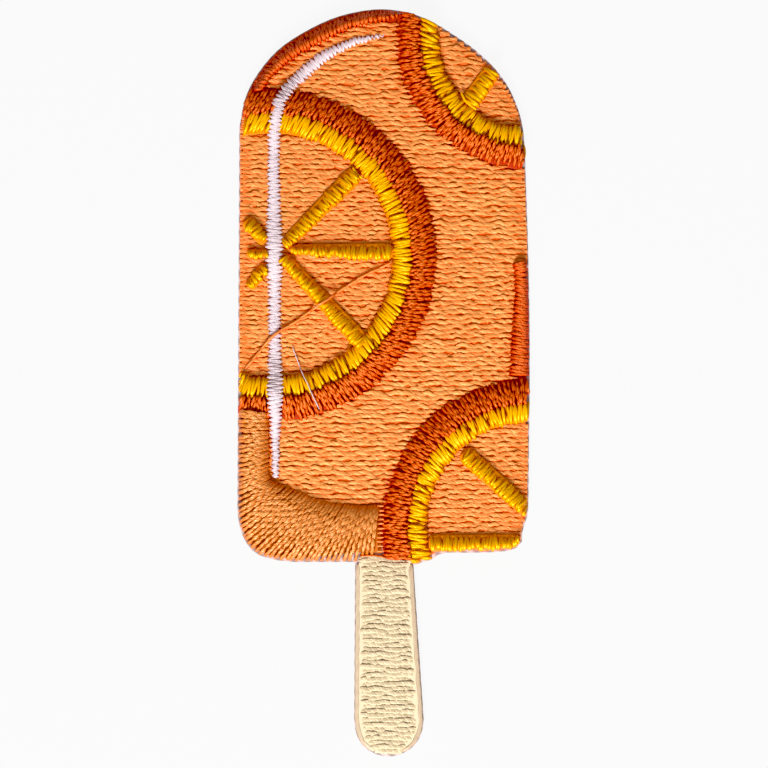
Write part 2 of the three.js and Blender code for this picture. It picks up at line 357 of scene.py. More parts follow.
def keep_on_points(tree, curve, values):
    """Stores fields under their names on the points of a curve."""
    for name, value in values.items():
        sockets = {"Geometry": curve.outputs[0], "Name": name, "Value": value}
        kind = "GeometryNodeStoreNamedAttribute"
        curve = add(tree, kind, sockets, data_type="FLOAT", domain="POINT")
    return curve


def thread_tree():
    """Lays a two-ply thread along every edge of a mesh, from needle hole to needle hole."""
    tree = bpy.data.node_groups.new("lay_thread", "GeometryNodeTree")
    tree.interface.new_socket("Stitches", in_out="INPUT", socket_type="NodeSocketGeometry")
    for kind, names in THREAD_INPUTS.items():
        for name in names:
            tree.interface.new_socket(name, in_out="INPUT", socket_type=kind)
    tree.interface.new_socket("Threads", in_out="OUTPUT", socket_type="NodeSocketGeometry")
    given = add(tree, "NodeGroupInput").outputs

    def maths(operation, *values):
        return arithmetic(tree, operation, *values)

    line = add(tree, "GeometryNodeMeshToCurve", {"Mesh": given["Stitches"]})
    sockets = {"Curve": line.outputs[0], "Length": given["Step"]}
    line = add(tree, "GeometryNodeResampleCurve", sockets, mode="LENGTH")
    place = add(tree, "GeometryNodeSplineParameter").outputs
    number = add(tree, "GeometryNodeCurveOfPoint").outputs["Curve Index"]
    total = add(tree, "GeometryNodeSplineLength").outputs["Length"]
    from_end = maths("MINIMUM", place["Length"], maths("SUBTRACT", total, place["Length"]))
    reach = maths("MINIMUM", given["Reach"], maths("MULTIPLY", total, 0.5))
    close = maths("DIVIDE", from_end, reach)
    close = maths("MINIMUM", maths("MAXIMUM", close, 0.0), 1.0)
    between = maths("SINE", maths("MULTIPLY", close, math.pi / 2))

    def drawn(shift):
        sockets = {"ID": number, "Seed": maths("ADD", given["Seed"], float(shift))}
        return add(tree, "FunctionNodeRandomValue", sockets, data_type="FLOAT").outputs[1]

    def stored(name):
        node = add(tree, "GeometryNodeInputNamedAttribute", {"Name": name}, data_type="FLOAT")
        return node.outputs["Attribute"]

    leaning = maths("POWER", stored("across"), given["Lean"])
    crown = maths("MULTIPLY", given["Crown"], bump_up(tree, leaning, given["Ridge"], 0.8))
    lift = maths("MULTIPLY_ADD", drawn(1), 0.3, -0.15)
    arch = maths("MULTIPLY_ADD", lift, given["Height"], given["Arch"])
    rise = maths("MULTIPLY_ADD", arch, between, crown)

    along = add(tree, "GeometryNodeInputTangent").outputs[0]
    side = add(tree, "ShaderNodeVectorMath", {0: along, 1: (0.0, 0.0, 1.0)}, operation="CROSS_PRODUCT")
    where = add(tree, "GeometryNodeInputPosition").outputs[0]
    wave = add(
        tree,
        "ShaderNodeTexNoise",
        {"Vector": where, "W": maths("MULTIPLY", drawn(2), 50.0), "Scale": given["Ripple"], "Detail": 1.0},
        noise_dimensions="4D",
    )
    swing = maths("MULTIPLY_ADD", wave.outputs[0], 2.0, -1.0)
    swing = maths("MULTIPLY", swing, given["Wander"])
    swing = maths("MULTIPLY", swing, between)
    sideways = add(tree, "ShaderNodeVectorMath", {0: side.outputs[0], "Scale": swing}, operation="SCALE")
    sway = add(tree, "ShaderNodeSeparateXYZ", {0: wave.outputs["Color"]}).outputs["Y"]
    sway = maths("MULTIPLY", maths("MULTIPLY_ADD", sway, 0.4, -0.2), given["Wander"])
    up = add(tree, "ShaderNodeCombineXYZ", {"Z": maths("MULTIPLY_ADD", sway, between, rise)})
    moved = add(tree, "ShaderNodeVectorMath", {0: sideways.outputs[0], 1: up.outputs[0]}, operation="ADD")
    line = add(tree, "GeometryNodeSetPosition", {"Geometry": line.outputs[0], "Offset": moved.outputs[0]})

    # Two plies turn in each lay, but the flattened thread only rocks with them
    lay = maths("MULTIPLY", given["Lay"], maths("MULTIPLY_ADD", drawn(6), 0.5, 0.75))
    turns = maths("DIVIDE", place["Length"], lay)
    turns = maths("ADD", turns, drawn(3))
    turns = maths("SINE", maths("MULTIPLY", turns, 2 * math.pi))
    turns = maths("MULTIPLY", turns, given["Rock"])
    line = add(tree, "GeometryNodeSetCurveNormal", {"Curve": line.outputs[0]}, mode="Z_UP")
    line = add(tree, "GeometryNodeSetCurveTilt", {"Curve": line.outputs[0], "Tilt": turns})
    kept = {"tone": drawn(4), "dip": maths("SUBTRACT", 1.0, between), "along": place["Length"]}
    line = keep_on_points(tree, line, kept)

    section = add(tree, "GeometryNodeCurvePrimitiveCircle", {"Resolution": given["Sides"], "Radius": 0.5})
    round_it = add(tree, "GeometryNodeSplineParameter").outputs["Factor"]
    round_it = maths("MULTIPLY", round_it, 2 * math.pi)
    plies = {"ply_x": maths("COSINE", round_it), "ply_y": maths("SINE", round_it)}
    section = keep_on_points(tree, section, plies)
    size = add(tree, "ShaderNodeCombineXYZ", {"X": given["Width"], "Y": given["Height"], "Z": 1.0})
    section = add(tree, "GeometryNodeTransform", {"Geometry": section.outputs[0], "Scale": size.outputs[0]})

    full = maths("MAXIMUM", between, stored("blunt"))
    taper = maths("MULTIPLY_ADD", full, maths("SUBTRACT", 1.0, given["Tip"]), given["Tip"])
    fat = maths("MULTIPLY_ADD", drawn(5), 0.16, 0.92)
    sockets = {
        "Curve": line.outputs[0],
        "Profile Curve": section.outputs[0],
        "Scale": maths("MULTIPLY", taper, fat),
        "Fill Caps": True,
    }
    made = add(tree, "GeometryNodeCurveToMesh", sockets)
    made = add(tree, "GeometryNodeSetShadeSmooth", {"Geometry": made.outputs[0]})
    sockets = {"Geometry": made.outputs[0], "Material": given["Material"]}
    made = add(tree, "GeometryNodeSetMaterial", sockets)
    made = add(tree, "GeometryNodeRealizeInstances", {"Geometry": made.outputs[0]})
    add(tree, "NodeGroupOutput", {"Threads": made.outputs[0]})
    return tree


THREAD_TREE = thread_tree()


# Materials


def surface(name, **values):
    """A material with one shader, whose plain values are set on the shader itself."""
    material = bpy.data.materials.new(name)
    material.use_nodes = True
    shader = material.node_tree.nodes["Principled BSDF"]
    for key, value in values.items():
        shader.inputs[key.replace("_", " ")].default_value = value
    return material, material.node_tree, shader


def bumped(tree, height, strength, depth, **more):
    """A bump whose depth is in millimetres."""
    sockets = {"Height": height, "Strength": strength, "Distance": depth * MM, **more}
    return add(tree, "ShaderNodeBump", sockets).outputs[0]


def mixed(tree, factor, first, second):
    """A colour between two others."""
    return add(tree, "ShaderNodeMix", {"Factor": factor, 6: first, 7: second}, data_type="RGBA").outputs[2]


def embroidery_thread(name, colours, ply_lay, groove, groove_paint, end=0.35, gloss=0.8):
    """Trilobal polyester thread, dyed in the yarn, with a second colour painted where shade falls: on steep
    sides, in ply grooves and near needle holes. It is a painted shade, except for cream, where it is a
    painted light.
    """
    colour, gap_paint, light, sheen = (linear(each) for each in colours)
    material, tree, shader = surface(name, Roughness=0.45, IOR=1.6, Specular_IOR_Level=gloss)
    shader.inputs["Specular Tint"].default_value = sheen
    kept = ("tone", "dip", "ply_x", "ply_y", "along")
    nodes = [add(tree, "ShaderNodeAttribute", attribute_name=each) for each in kept]
    tone, dip, ply_x, ply_y, along = (node.outputs["Fac"] for node in nodes)
    # Painted shade: the steeper a face tilts from level, the more of the second colour it takes, as on the
    # thread's sides between neighbours.
    facing = add(tree, "ShaderNodeNewGeometry").outputs["Normal"]
    height = add(tree, "ShaderNodeSeparateXYZ", {0: facing}).outputs["Z"]
    slope = {"Value": height, "From Min": 0.94, "From Max": 0.4, "To Min": 0.0, "To Max": 0.95}
    low = add(tree, "ShaderNodeMapRange", slope).outputs[0]
    run = arithmetic(tree, "MULTIPLY", along, FIBRE_RUN)
    fibres = add(tree, "ShaderNodeCombineXYZ", {"X": ply_x, "Y": ply_y, "Z": run})
    streaks = add(tree, "ShaderNodeTexNoise", {"Vector": fibres.outputs[0], "Scale": 2.6, "Detail": 2.0})
    bumps = bumped(tree, streaks.outputs[0], 0.6, 0.05)
    # The two plies wind round each other, so a shallow groove crosses the thread in every half turn
    turn = arithmetic(tree, "MULTIPLY", tone, PLY_START)
    turn = arithmetic(tree, "MULTIPLY_ADD", along, 2 * math.pi / (ply_lay * MM), turn)
    part = arithmetic(tree, "MULTIPLY", ply_x, arithmetic(tree, "COSINE", turn))
    ply = arithmetic(tree, "MULTIPLY_ADD", ply_y, arithmetic(tree, "SINE", turn), part)
    ply = arithmetic(tree, "ABSOLUTE", ply)
    ply = add(tree, "ShaderNodeMapRange", {"Value": ply, "From Max": 0.6}, interpolation_type="SMOOTHSTEP")
    tree.links.new(bumped(tree, ply.outputs[0], 1.0, groove, Normal=bumps), shader.inputs["Normal"])
    # More painted shade in the ply grooves, and toward the ends where the thread dips into a needle hole;
    # for the cream yarn this colour is lighter, so there it is painted light.
    between = arithmetic(tree, "SUBTRACT", 1.0, ply.outputs[0])
    low = arithmetic(tree, "MULTIPLY_ADD", between, groove_paint, low)
    gap_paint_share = arithmetic(tree, "MULTIPLY_ADD", dip, end, low, use_clamp=True)
    shown = mixed(tree, gap_paint_share, mixed(tree, tone, colour, light), gap_paint)
    tree.links.new(shown, shader.inputs["Base Color"])
    return material


def underlay(name, colour):
    """The first layer of the same thread, seen only between the stitches. Its colour is darker than the
    yarn, a painted shade for the gaps, except under the cream, where it is lighter, a painted light.
    """
    material, tree, shader = surface(name, Roughness=0.8)
    shader.inputs["Base Color"].default_value = linear(colour)
    where = add(tree, "ShaderNodeTexCoord").outputs["Object"]
    rows = add(tree, "ShaderNodeTexWave", {"Vector": where, "Scale": 330.0, "Distortion": 1.5})
    tree.links.new(bumped(tree, rows.outputs[0], 0.6, 0.05), shader.inputs["Normal"])
    return material


def twill(name, colour, shadow):
    """Woven polyester twill: fine diagonal ribs 0.35 mm apart."""
    material, tree, shader = surface(name, Roughness=0.85)
    where = add(tree, "ShaderNodeTexCoord").outputs["Object"]
    sockets = {"Vector": where, "Scale": 450.0, "Distortion": 0.6, "Detail": 1.0}
    ribs = add(tree, "ShaderNodeTexWave", sockets, bands_direction="DIAGONAL")
    shade = mixed(tree, ribs.outputs["Fac"], linear(shadow), linear(colour))
    tree.links.new(shade, shader.inputs["Base Color"])
    tree.links.new(bumped(tree, ribs.outputs["Fac"], 0.7, 0.08), shader.inputs["Normal"])
    return material


def heat_seal_film(name, colour):
    """Thin hot-melt film pressed on the back: a low gloss, and the grain of the bobbin side."""
    material, tree, shader = surface(name, Roughness=0.38, IOR=1.5)
    shader.inputs["Base Color"].default_value = linear(colour)
    where = add(tree, "ShaderNodeTexCoord").outputs["Object"]
    stretched = add(tree, "ShaderNodeMapping", {"Vector": where, "Scale": (500.0, 1900.0, 500.0)})
    grain = add(tree, "ShaderNodeTexNoise", {"Vector": stretched.outputs[0], "Scale": 1.0, "Detail": 3.0})
    tree.links.new(bumped(tree, grain.outputs[0], 0.5, 0.1), shader.inputs["Normal"])
    return material


# Each thread's colours: the yarn, the colour painted on sides, ply grooves and needle holes (a painted
# shade, lighter for cream as a painted light), the lightest yarn and the sheen
YARNS = {
    "peach": ("#f2934d", "#fc6a2c", "#f8a258", "#ffd0a0"),
    "apricot": ("#ea9040", "#e67820", "#f49e4e", "#ffd8b8"),
    "rust": ("#ea6e2c", "#c82c00", "#f47e38", "#ffb878"),
    "dull_rust": ("#ec6e34", "#cc3206", "#f67c44", "#ffa868"),
    "yellow": ("#ffb014", "#f08c00", "#ffc024", "#fff050"),
    "white": ("#e6d2d8", "#dcc0c4", "#f0dce2", "#ffffff"),
    "cream": ("#d0ba94", "#ead4ae", "#d8c29c", "#fff4e0"),
    "tan": ("#cfb698", "#c0a080", "#dac4a6", "#ffe8d0"),
}
PEACH = embroidery_thread("peach_polyester_thread", YARNS["peach"], LEAF_LAY, 0.03, 0.35, end=0.15)
APRICOT = embroidery_thread("apricot_polyester_thread", YARNS["apricot"], SEED_LAY, 0.03, 0.45, gloss=1.4)
RUST = embroidery_thread("rust_polyester_thread", YARNS["rust"], SEED_LAY, 0.03, 0.4)
DULL_RUST = embroidery_thread("rust_edge_thread", YARNS["dull_rust"], SEED_LAY, 0.03, 0.4, gloss=0.4)
YELLOW = embroidery_thread("yellow_polyester_thread", YARNS["yellow"], LEAF_LAY, 0.02, 0.3, 0.1, 1.3)
WHITE = embroidery_thread("white_polyester_thread", YARNS["white"], SEED_LAY, 0.015, 0.3)
CREAM = embroidery_thread("cream_polyester_thread", YARNS["cream"], SEED_LAY, 0.02, 0.45)
TAN = embroidery_thread("cream_edge_run_thread", YARNS["tan"], LEAF_LAY, 0.01, 0.3)
# Underlay colours: darker than their yarns as painted shade in the gaps, and lighter for cream as painted
# light.
UNDERLAYS = {
    "peach": underlay("peach_underlay", "#f07830"),
    "apricot": underlay("apricot_underlay", "#d87c28"),
    "rust": underlay("rust_underlay", "#c03406"),
    "yellow": underlay("yellow_underlay", "#f08c08"),
    "white": underlay("white_underlay", "#d4bcc4"),
    "cream": underlay("cream_underlay", "#f0dcb8"),
}
TWILL = twill("polyester_twill", "#e0ccca", "#a89490")
FILM = heat_seal_film("hot_melt_film", "#e6e2da")
THREADS = {
    "peach": PEACH,
    "apricot": APRICOT,
    "rust": RUST,
    "yellow": YELLOW,
    "white": WHITE,
    "cream": CREAM,
}


# Stitches: lines of points (x, y, height, place across the band, 1 where the end is cut off blunt)


def stitch(a, b, heights, across=(0.5, 0.5), blunt=(0, 0)):
    return [
        (a[0], a[1], heights[0], across[0], blunt[0]),
        (b[0], b[1], heights[1], across[1], blunt[1]),
    ]


def plain_path(points):
    return [(x, y, z, 0.5, 0) for x, y, z in points]


def on_cloth(a, b, t):
    """The stretch of the line a to b round one place that keeps half a thread inside the cut edge."""
    side = Vector((a.y - b.y, b.x - a.x)).normalized() * HALF_THREAD
    found = []
    for shift in (-side, 0 * side, side):
        found += [r for r in spans(OUTLINE, a + shift, b + shift) if r[0] <= t <= r[1]]
    if len(found) < 3:
        return t, t
    return max(r[0] for r in found), min(r[1] for r in found)


def row_span(p, q, t0, t1, draw, border):
    """Where a row starts and stops: short of the cut edge, or a little over the edge of a ring."""
    ends, cut = [], []
    limits = on_cloth(p, q, (t0 + t1) / 2)
    for t, limit, outwards in ((t0, limits[0], -1), (t1, limits[1], 1)):
        x = mix(p.x, q.x, t) + outwards * draw.uniform(*ROW_OVERLAP)
        edge = mix(p.x, q.x, limit) - outwards * (CUT_MARGIN + border + draw.uniform(0, 0.06))
        cut.append((x - edge) * outwards > 0)
        ends.append(edge if cut[-1] else x)
    return ends, cut


def wide_spans(edges, p, q, reach):
    """The stretches of a row that lie inside an outline, or would do when moved a little up or down."""
    shifts = [Vector((0, shift)) for shift in (-reach, 0, reach)]
    merged = []
    for t0, t1 in sorted(pair for shift in shifts for pair in spans(edges, p + shift, q + shift)):
        if merged and t0 <= merged[-1][1]:
            merged[-1][1] = max(merged[-1][1], t1)
        else:
            merged.append([t0, t1])
    return merged


def fill_rows(node, pitch, length, seed, border=0.0, tip=TIP_HEIGHT):
    """Level rows of running stitches, whose needle holes are offset from row to row."""
    draw = random.Random(seed)
    edges = footprint(node)
    low, high = (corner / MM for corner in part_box(node))
    made = []
    for row in range(math.ceil(low.y / pitch), math.floor(high.y / pitch) + 1):
        y = row * pitch
        offset = (row * 0.37 % 1) * length + draw.uniform(-0.25, 0.25)
        p, q = Vector((low.x - 1, y)), Vector((high.x + 1, y))
        for t0, t1 in wide_spans(edges, p, q, pitch / 2):
            if (t1 - t0) * (q.x - p.x) < 0.25:
                continue
            (x0, x1), cut = row_span(p, q, t0, t1, draw, border)
            if x1 - x0 < SHORTEST:
                continue
            holes = []
            x = math.ceil((x0 - offset) / length) * length + offset
            while x < x1 - 0.5:
                if x > x0 + 0.5:
                    holes.append(x + draw.uniform(-0.2, 0.2))
                x += length
            marks = [(x0, EDGE_HEIGHT if cut[0] else tip)]
            for hole in holes:
                marks.append((hole - HOLE_REACH, FILL_HEIGHT))
                marks.append((hole, FILL_HEIGHT - HOLE_DIP))
                marks.append((hole + HOLE_REACH, FILL_HEIGHT))
            marks.append((x1, EDGE_HEIGHT if cut[1] else tip))
            row_path = []
            for k, (x, z) in enumerate(marks):
                drift = 0.16 * noise.noise(Vector((x * 0.14, y * 0.35, seed)))
                blunt = (k == 0 and cut[0]) or (k == len(marks) - 1 and cut[1])
                row_path.append((x, y + drift + draw.uniform(-0.03, 0.03), z, 0.5, float(blunt)))
            made.append(row_path)
    return made


def zigzag(rail_a, rail_b, length, pitch, draw, across=0.07, uneven=0.16):
    """Needle points that go to and fro between two rails, as pairs of ends with the side that each is on."""
    count = max(2, round(length / pitch))
    points = []
    for i in range(count):
        for side in (0, 1):
            s = (i + side / 2 + draw.uniform(-uneven, uneven)) / count
            here, there = (rail_b(s), rail_a(s)) if side else (rail_a(s), rail_b(s))
            outwards = (here - there).normalized()
            points.append((here + outwards * draw.uniform(-across, across), side))
    return list(zip(points, points[1:]))


def sewn_once(share):
    """Some threads are sewn down once, near the middle."""
    return lambda k, span, draw: [span * draw.uniform(0.35, 0.65)] if draw.random() < share else []


def sewn_every(length, loose=0.12, smooth=0.0):
    """Long threads are sewn down at even distances, but not near the inner end."""

    def stops(k, span, draw):
        first = (k % 3 + 1) / 3 * length
        count = int((span - first) / length) + 1
        places = [first + n * length + draw.uniform(-loose, loose) for n in range(count)]
        return [place for place in places if (place if k % 2 else span - place) > smooth]

    return stops


def on_body(a, b):
    """The longest stretch of the line a to b that lies on the body, and not over the stick."""
    inside = [(max(t0, 0), min(t1, 1)) for t0, t1 in spans(OUTLINE, a, b) if t1 > 0 and t0 < 1]
    if not inside:
        return 0, 0
    t0, t1 = max(inside, key=lambda r: r[1] - r[0])
    low, high = on_cloth(a, b, (t0 + t1) / 2)
    t0, t1 = max(t0, low), min(t1, high)
    over_a, over_b = (p.y - from_table(FOOT_LINE, p.x) for p in (a, b))
    if over_a < 0 and over_b < 0:
        return 0, 0
    if over_a < 0:
        t0 = max(t0, over_a / (over_a - over_b))
    if over_b < 0:
        t1 = min(t1, over_a / (over_a - over_b))
    return t0, t1


def satin(pairs, height, draw, sewn_down, drop=(0, 0)):
    """Satin stitches between needle points, short of the cut edge. Each side's ends may lie lower."""
    made = []
    for k, ((a, side_a), (b, side_b)) in enumerate(pairs):
        a, b = Vector(a[:2]), Vector(b[:2])
        span = (b - a).length
        if span < 0.05:
            continue
        t0, t1 = on_body(a, b)
        cut_a, cut_b = t0 > 0, t1 < 1
        t0 += (CUT_MARGIN + draw.uniform(0, 0.08)) / span if cut_a else 0
        t1 -= (CUT_MARGIN + draw.uniform(0, 0.08)) / span if cut_b else 0
        if (t1 - t0) * span < SHORTEST:
            continue
        down = [d / span for d in sewn_down(k, span, draw)]
        stops = [t0] + [t for t in down if t0 + 0.25 / span < t < t1 - 0.25 / span] + [t1]
        lift = draw.uniform(0.4, 1.4) * (PROUD if side_a else -PROUD)
        heights = [height + lift - SINK] * len(stops)
        heights[0] = EDGE_HEIGHT if cut_a else height + lift - drop[side_a]
        heights[-1] = EDGE_HEIGHT if cut_b else height + lift - drop[side_b]
        start, stop = (t0 if cut_a else 0), (t1 if cut_b else 1)
        for i in range(len(stops) - 1):
            s0, s1 = stops[i], stops[i + 1]
            across = [mix(side_a, side_b, (s - start) / (stop - start)) for s in (s0, s1)]
            blunt = (cut_a and i == 0, cut_b and i == len(stops) - 2)
            made.append(stitch(a.lerp(b, s0), a.lerp(b, s1), heights[i : i + 2], across, blunt))
    return made


def ring_rail(centre, middle, radius, guide, span):
    """One edge of a ring of satin, where the threads lie at the guide's angles."""
    centre = Vector(centre)

    def at(s):
        around = mix(span[0], span[1], s)
        start = direction(around) * middle
        lean = direction(from_table(guide, around))
        forwards = lean.dot(start)
        reach = -forwards + math.sqrt(max(forwards**2 - start.length_squared + radius**2, 0))
        return centre + start + lean * reach

    return at


def ring_stitches(slice_name, part, seed, sewn_down, drop):
    centre = SLICES[slice_name]["centre"]
    inner, outer = SLICES[slice_name][part]
    guide = RING_GUIDES[f"{slice_name}_{part}"]
    span = (guide[0][0], guide[-1][0])
    middle = (inner + outer) / 2
    rails = [ring_rail(centre, middle, radius, guide, span) for radius in (inner, outer)]
    length = math.radians(span[1] - span[0]) * middle
    draw = random.Random(seed)
    pairs = zigzag(*rails, length, SATIN_PITCH, draw, across=0.18, uneven=0.3)
    return satin(pairs, BAND_HEIGHT, draw, sewn_down, drop)


def wall_stitches(start, end, widths, seed):
    draw = random.Random(seed)
    start, end = Vector(start), Vector(end)
    along = (end - start).normalized()
    side = Vector((-along.y, along.x))
    if side.y < 0:
        side = -side

    def rail(sign):
        return lambda s: start.lerp(end, s) + side * sign * mix(*widths, s) / 2

    pairs = zigzag(rail(-1), rail(1), (end - start).length, SATIN_PITCH, draw, across=0.18, uneven=0.38)
    return satin(pairs, WALL_HEIGHT, draw, sewn_once(0))


def pair_stitches(pairs, seed, height, sewn_down, pitch, drop):
    """Satin between two rails that are given as pairs of needle points, outer then inner."""
    draw = random.Random(seed)
    pairs = [(Vector(a) + (Vector(a) - Vector(b)).normalized() * OVER_EDGE, b) for a, b in pairs]
    outer, inner = ([pair[side] for pair in pairs] for side in (0, 1))
    middle = [(a + Vector(b)) / 2 for a, b in pairs]
    outer_at, inner_at = paced(outer, middle), paced(inner, middle)
    needle = zigzag(outer_at, inner_at, route(middle)[1], pitch, draw)
    return satin(needle, height, draw, sewn_down, drop)


def paced(points, pace):
    """A smooth curve through the points as a function of 0 to 1, at the pace of other points."""
    points, pace = [Vector(p) for p in points], [Vector(p) for p in pace]
    marks = [0.0]
    for a, b in zip(pace, pace[1:]):
        marks.append(marks[-1] + (b - a).length)

    def at(s):
        want = min(max(s, 0), 1) * marks[-1]
        i = max(k for k in range(len(marks) - 1) if marks[k] <= want)
        t = (want - marks[i]) / (marks[i + 1] - marks[i])
        a, b = points[i], points[i + 1]
        before, after = points[max(i - 1, 0)], points[min(i + 2, len(points) - 1)]
        p, q = a + (b - before) / 6, b - (after - a) / 6
        return a * (1 - t) ** 3 + p * 3 * t * (1 - t) ** 2 + q * 3 * t * t * (1 - t) + b * t**3

    return at


def highlight_stitches(seed):
    """A narrow column that stands on whatever it crosses."""
    draw = random.Random(seed)
    centre, length = route(HIGHLIGHT)

    def rail(sign):
        def at(s):
            here, ahead = centre(s), centre(min(s + 0.01, 1)) - centre(max(s - 0.01, 0))
            side = Vector((-ahead.y, ahead.x)).normalized()
            return Vector(here[:2]) + side * sign * here.z / 2

        return at

    pairs = zigzag(rail(-1), rail(1), length, SATIN_PITCH, draw)
    tops = []
    for (a, _), (b, _) in pairs:
        middle = ground(*((a + b) / 2))
        tops.append(max(middle, min(max(ground(*a), ground(*b)), middle + 0.4)))
    made = []
    for i, ((a, side_a), (b, side_b)) in enumerate(pairs):
        near = [max(tops[max(k - 2, 0) : k + 3]) for k in range(max(i - 7, 0), min(i + 8, len(tops)))]
        height = sum(near) / len(near) + 0.02
        made.append(stitch(a, b, (height, height), (side_a, side_b)))
    return made


def edge_runs(rows, inset):
    """Two long threads down the sides of a fill, just outside the ends of its rows."""
    left = [(row[0][0] - inset, row[0][1], EDGE_HEIGHT) for row in rows]
    right = [(row[-1][0] + inset, row[-1][1], EDGE_HEIGHT) for row in rows]
    return [plain_path(left), plain_path(right)]


def foot_rows():
    """The stick's first rows, which follow the slanting foot of the body."""
    made = []
    for below in (0.2, 0.5):
        spots = [(x * 0.5, from_table(FOOT_LINE, x * 0.5) - below) for x in range(-5, 6)]
        made.append(plain_path([(x, y, FILL_HEIGHT - 0.05) for x, y in spots if y > -18.5]))
    return made


def foot_run():
    """One rust thread along the foot of the body, seen only as a dark line."""
    spots = [(x * 0.4, from_table(FOOT_LINE, x * 0.4) - 0.02) for x in range(-6, 6)]
    return [plain_path([(x, y, EDGE_HEIGHT + 0.04) for x, y in spots])]


def ring_end_rows():
    """Ends of peach rows between the cut edge and the first threads of the left ring."""
    made = []
    for k in range(10):
        y = 24.7 + k * ROW_END_PITCH
        p, q = Vector((-17, y)), Vector((-12, y))
        x = mix(p.x, q.x, on_cloth(p, q, 0.7)[0]) + CUT_MARGIN
        made.append(stitch((x, y), (-13.4, y + 0.1), (EDGE_HEIGHT, EDGE_HEIGHT + 0.05), blunt=(1, 0)))
    return made


def ring_teeth(seed):
    """Ends of peach rows that come out between the shaded corner and the low ring."""
    draw = random.Random(seed)
    made = []
    for k in range(11):
        y = -12.5 - k * TOOTH_PITCH + draw.uniform(-0.04, 0.04)
        heights = (BAND_HEIGHT + 0.16, BAND_HEIGHT + 0.24)
        made.append(stitch((-0.62, y), (draw.uniform(-0.06, 0.08), y), heights, blunt=(1, 0)))
    return made


def loose_path(points, raise_by):
    """A loose end of thread, which rests on the highest of what it crosses."""
    at, length = route(points)
    count = round(length / LOOSE_STEP)
    spots = [at(i / count) for i in range(count + 1)]
    heights = [ground(p.x, p.y) + raise_by for p in spots]
    rest = []
    for i in range(len(heights)):
        reach = range(max(i - 3, 0), min(i + 4, len(heights)))
        rest.append(max(heights[k] - 0.08 * abs(k - i) for k in reach))
    return plain_path([(p.x, p.y, z) for p, z in zip(spots, rest)])


# Pieces


def in_scene(name, data):
    """An object that shows a mesh, a light or a camera."""
    made = bpy.data.objects.new(name, data)
    bpy.context.scene.collection.objects.link(made)
    return made


def mesh_object(name, vertices, edges, faces):
    mesh = bpy.data.meshes.new(name)
    mesh.from_pydata(vertices, edges, faces)
    return in_scene(name, mesh)


def welded(node):
    """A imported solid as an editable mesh, with its doubled corners joined."""
    mesh = bmesh.new()
    mesh.from_mesh(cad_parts[node].data)
    bmesh.ops.remove_doubles(mesh, verts=mesh.verts, dist=WELD * MM)
    return mesh


def made_of(mesh, name, material):
    """An editable mesh as an object of one material."""
    data = bpy.data.meshes.new(name)
    mesh.to_mesh(data)
    mesh.free()
    data.materials.clear()
    data.materials.append(material)
    return in_scene(name, data)


def lay(name, stitches, material, seed, width, height, **more):
    """The stitches as real threads, in one plain mesh."""
    vertices = [(p[0] * MM, p[1] * MM, p[2] * MM) for path in stitches for p in path]
    edges, start = [], 0
    for path in stitches:
        edges += [(start + i, start + i + 1) for i in range(len(path) - 1)]
        start += len(path)
    draft = mesh_object(name + "_draft", vertices, edges, [])
    for column, kept in ((3, "across"), (4, "blunt")):
        values = draft.data.attributes.new(kept, "FLOAT", "POINT")
        values.data.foreach_set("value", [float(p[column]) for path in stitches for p in path])
    modifier = draft.modifiers.new("lay_thread", "NODES")
    modifier.node_group = THREAD_TREE
    size = dict(THREAD, width=width, height=height, **more)
    values = {key.title(): size[key] * MM for key in IN_MM}
    values.update({key.title(): size[key] for key in PLAIN})
    values.update(Ripple=size["ripple"] / MM, Lay=THREAD_LAY * MM)
    values.update(Sides=THREAD_SIDES, Seed=seed, Material=material)
    for item in THREAD_TREE.interface.items_tree:
        if item.in_out == "INPUT" and item.name in values:
            modifier[item.identifier] = values[item.name]
    depsgraph = bpy.context.evaluated_depsgraph_get()
    mesh = bpy.data.meshes.new_from_object(draft.evaluated_get(depsgraph))
    bpy.data.objects.remove(draft)
    mesh.name = name
    return in_scene(name, mesh)


def pulled_in(x, y, margin):
    """Keeps a point of the underlay well inside the cut edge, where the stitches hide it."""
    here = Vector((x, y))
    near = min((nearest_on(edge, here) for edge in OUTLINE), key=lambda spot: (spot - here).length)
    away = here - near
    if 0 < away.length < margin:
        here = near + away.normalized() * margin
    return here


def behind_foot(x, y):
    return x, max(y, from_table(FOOT_LINE, x) + UNDERLAY_MARGIN)


def nearest_on(edge, here):
    a, b = Vector(edge[0]), Vector(edge[1])
    t = (here - a).dot(b - a) / (b - a).length_squared
    return a.lerp(b, min(max(t, 0), 1))


def bed(node, material, share):
    """The underlay of a sewn area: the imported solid, let down so that the stitches stand over it."""
    mesh = welded(node)
    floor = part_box(node)[0].z
    margin = CROWN_MARGIN if node == "crown_rind" else UNDERLAY_MARGIN
    for vertex in mesh.verts:
        x, y = pulled_in(vertex.co.x / MM, vertex.co.y / MM, margin)
        if node != "stick_fill":
            x, y = behind_foot(x, y)
        vertex.co = (x * MM, y * MM, floor + (vertex.co.z - floor) * share)
    return made_of(mesh, node + "_bed", material)


def joined(piece, *others):
    bpy.ops.object.select_all(action="DESELECT")
    for part in (piece, *others):
        part.select_set(True)
    bpy.context.view_layer.objects.active = piece
    bpy.ops.object.join()
    return piece


def finish_field(threads, node, kind, share=FILL_BED):
    """Joins a sewn area's threads and underlay, and puts them in place of its solid."""
    joined(threads, bed(node, UNDERLAYS[kind], share))
    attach(threads, "root")
    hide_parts(node)
    SEWN.append(threads)


